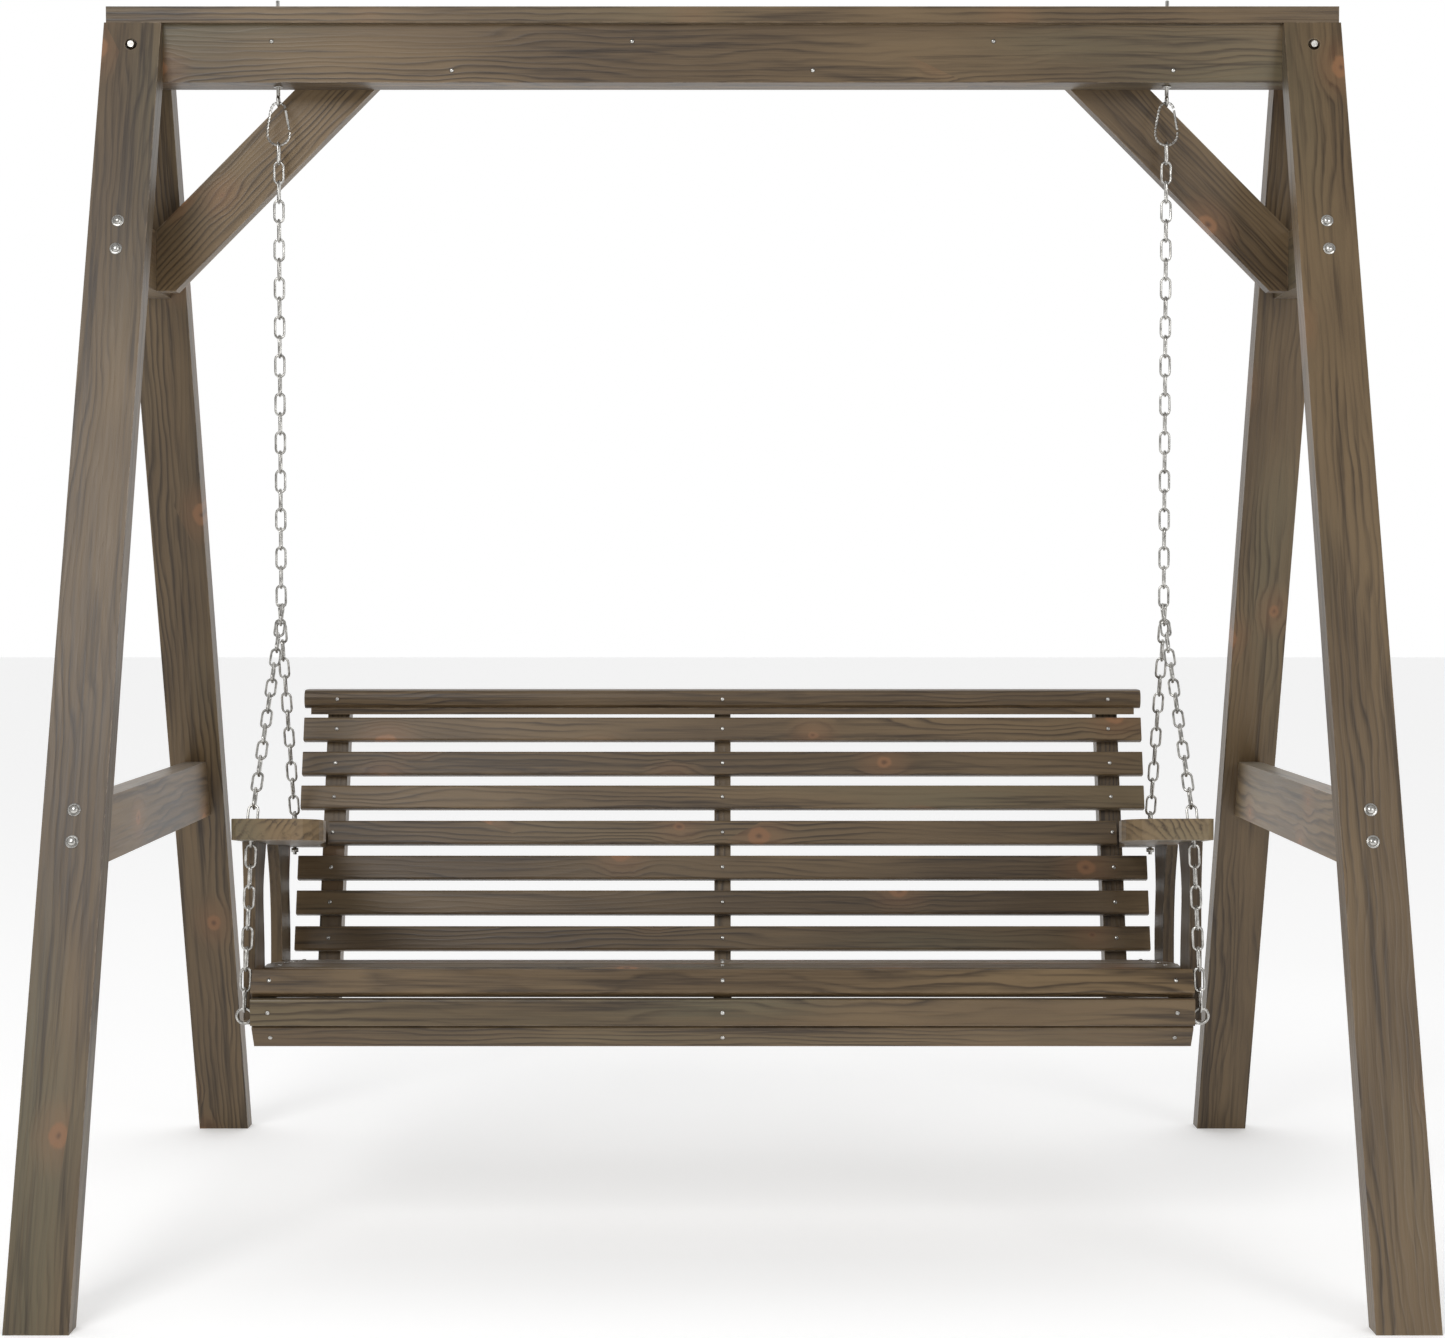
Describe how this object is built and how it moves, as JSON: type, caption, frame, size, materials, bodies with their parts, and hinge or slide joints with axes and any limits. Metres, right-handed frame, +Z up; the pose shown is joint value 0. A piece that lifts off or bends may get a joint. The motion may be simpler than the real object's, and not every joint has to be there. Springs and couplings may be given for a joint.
{
  "type": "porch swing",
  "caption": "Slatted wooden bench hung on chains from a wooden A-frame stand, with snap hooks, eye bolts, armrests and corner braces.",
  "frame": {"origin": "on the floor, centred under the top beam", "axes": "+X along the beam to the right seen from the front, +Y to the back, +Z up; the bench faces -Y"},
  "size_m": [1.926, 1.3456, 1.92],
  "materials": {
    "stained_wood": "brown stained softwood, satin",
    "bright_steel": "bright zinc-plated steel"
  },
  "bodies": {
    "stand": {"cap_board": "stained_wood", "beam_front_ply": "stained_wood", "beam_rear_ply": "stained_wood", "leg_front_left": "stained_wood", "leg_rear_left": "stained_wood", "upper_spreader_left": "stained_wood", "lower_crossbar_left": "stained_wood", "knee_brace_left": "stained_wood", "apex_bolt_left": "bright_steel", "hanger_eye_left": "bright_steel", "leg_front_right": "stained_wood", "leg_rear_right": "stained_wood", "upper_spreader_right": "stained_wood", "lower_crossbar_right": "stained_wood", "knee_brace_right": "stained_wood", "apex_bolt_right": "bright_steel", "hanger_eye_right": "bright_steel"},
    "hangers": {"snap_hook_left": "bright_steel", "upper_chain_left": "bright_steel", "snap_hook_right": "bright_steel", "upper_chain_right": "bright_steel"},
    "bench": {"front_chain_left": "bright_steel", "rear_chain_left": "bright_steel", "front_eye_left": "bright_steel", "rear_eye_left": "bright_steel", "armrest_left": "stained_wood", "front_post_left": "stained_wood", "rear_post_left": "stained_wood", "back_stile_left": "stained_wood", "seat_rail_left": "stained_wood", "front_chain_right": "bright_steel", "rear_chain_right": "bright_steel", "front_eye_right": "bright_steel", "rear_eye_right": "bright_steel", "armrest_right": "stained_wood", "front_post_right": "stained_wood", "rear_post_right": "stained_wood", "back_stile_right": "stained_wood", "seat_rail_right": "stained_wood", "back_stile_centre": "stained_wood", "seat_rail_centre": "stained_wood", "cap_slat": "stained_wood", "back_slat_1": "stained_wood", "back_slat_2": "stained_wood", "back_slat_3": "stained_wood", "back_slat_4": "stained_wood", "back_slat_5": "stained_wood", "back_slat_6": "stained_wood", "back_slat_7": "stained_wood", "seat_slat_1": "stained_wood", "seat_slat_2": "stained_wood", "seat_slat_3": "stained_wood", "seat_slat_4": "stained_wood", "seat_slat_5": "stained_wood", "seat_slat_6": "stained_wood", "roll_slat_top": "stained_wood", "roll_slat_front": "stained_wood", "roll_slat_under": "stained_wood"},
    "gate_left": {"snap_gate_left": "bright_steel"},
    "gate_right": {"snap_gate_right": "bright_steel"}
  },
  "joints": [
    {"name": "swing", "type": "hinge", "parent": "stand", "child": "hangers", "pos_m": [0, 0, 1.7604], "axis": [1, 0, 0], "range_deg": [-22, 8]},
    {"name": "seat_pitch", "type": "hinge", "parent": "hangers", "child": "bench", "pos_m": [0, 0, 0.96655], "axis": [1, 0, 0], "range_deg": [-8, 8]},
    {"name": "gate_open_left", "type": "hinge", "parent": "hangers", "child": "gate_left", "pos_m": [-0.68237, 0, 1.71922], "axis": [0, -1, 0], "range_deg": [0, 20], "stiffness_Nm_per_rad": 0.05, "springref_deg": -11.46},
    {"name": "gate_open_right", "type": "hinge", "parent": "hangers", "child": "gate_right", "pos_m": [0.71563, 0, 1.71922], "axis": [0, -1, 0], "range_deg": [0, 20], "stiffness_Nm_per_rad": 0.05, "springref_deg": -11.46}
  ]
}
